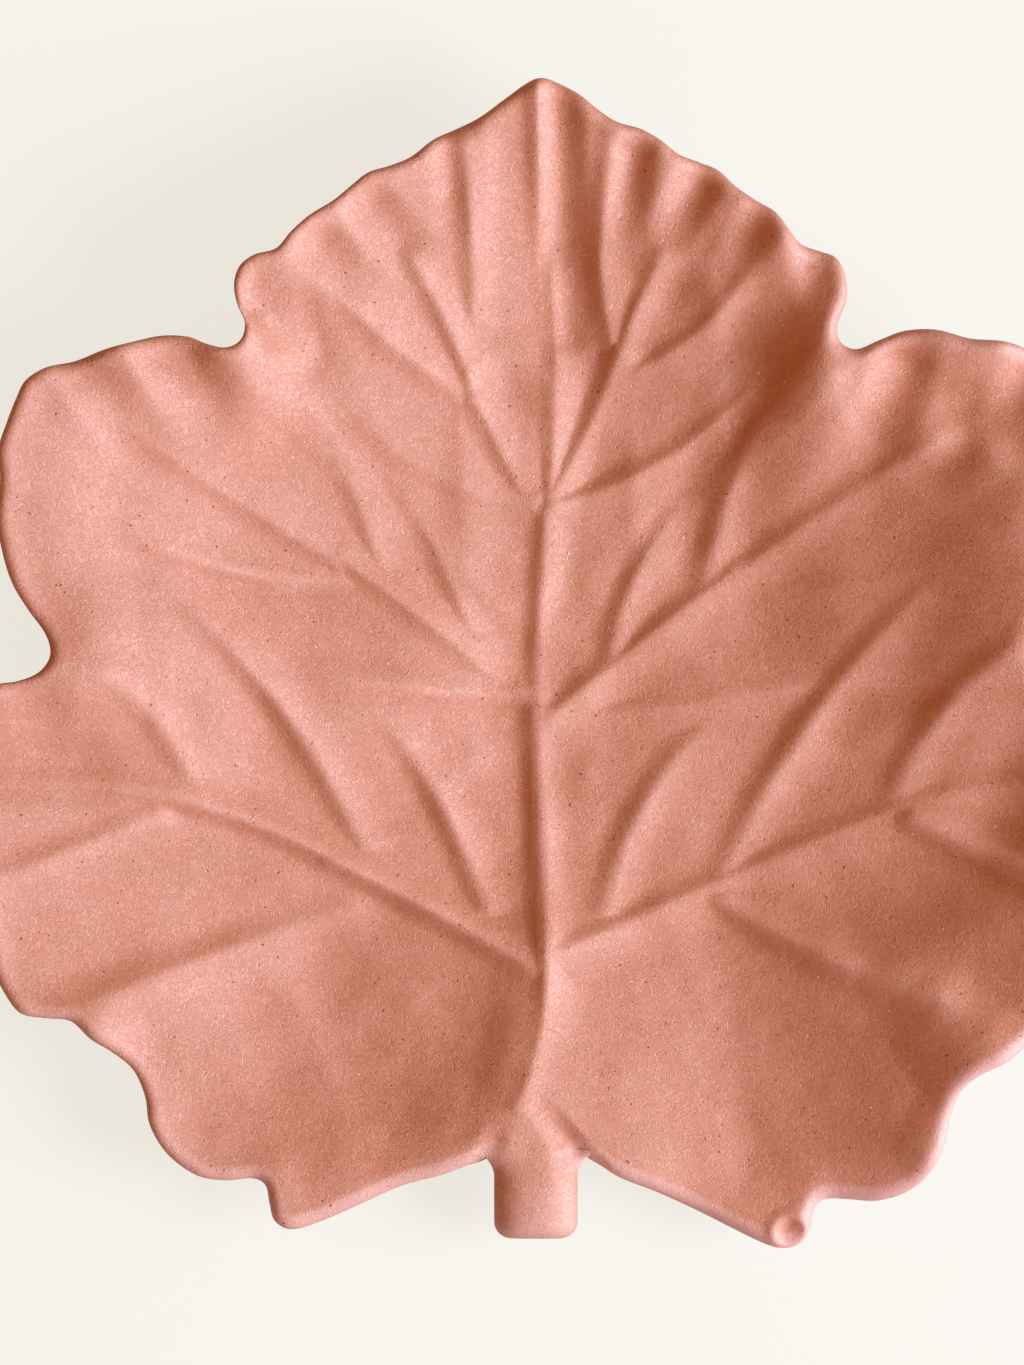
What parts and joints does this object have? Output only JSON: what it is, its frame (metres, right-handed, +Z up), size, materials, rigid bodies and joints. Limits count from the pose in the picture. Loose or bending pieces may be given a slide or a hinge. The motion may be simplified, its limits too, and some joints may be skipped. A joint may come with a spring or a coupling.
{
  "type": "leaf shaped plate",
  "caption": "Shallow clay plate in the shape of a lobed leaf, with raised veins, a ruffled rounded rim, a short stem as handle and a foot ring underneath.",
  "frame": {"origin": "middle of the plate's outline, on the surface that the foot ring stands on", "axes": "+Z up out of the dish, +Y from the stem to the tip of the top lobe, +X to the right seen from above"},
  "size_m": [0.248, 0.235, 0.0356],
  "materials": {
    "clay": "matte"
  },
  "bodies": {
    "root": {"leaf_dish": "clay", "stem": "clay", "foot_ring": "clay"}
  },
  "joints": []
}
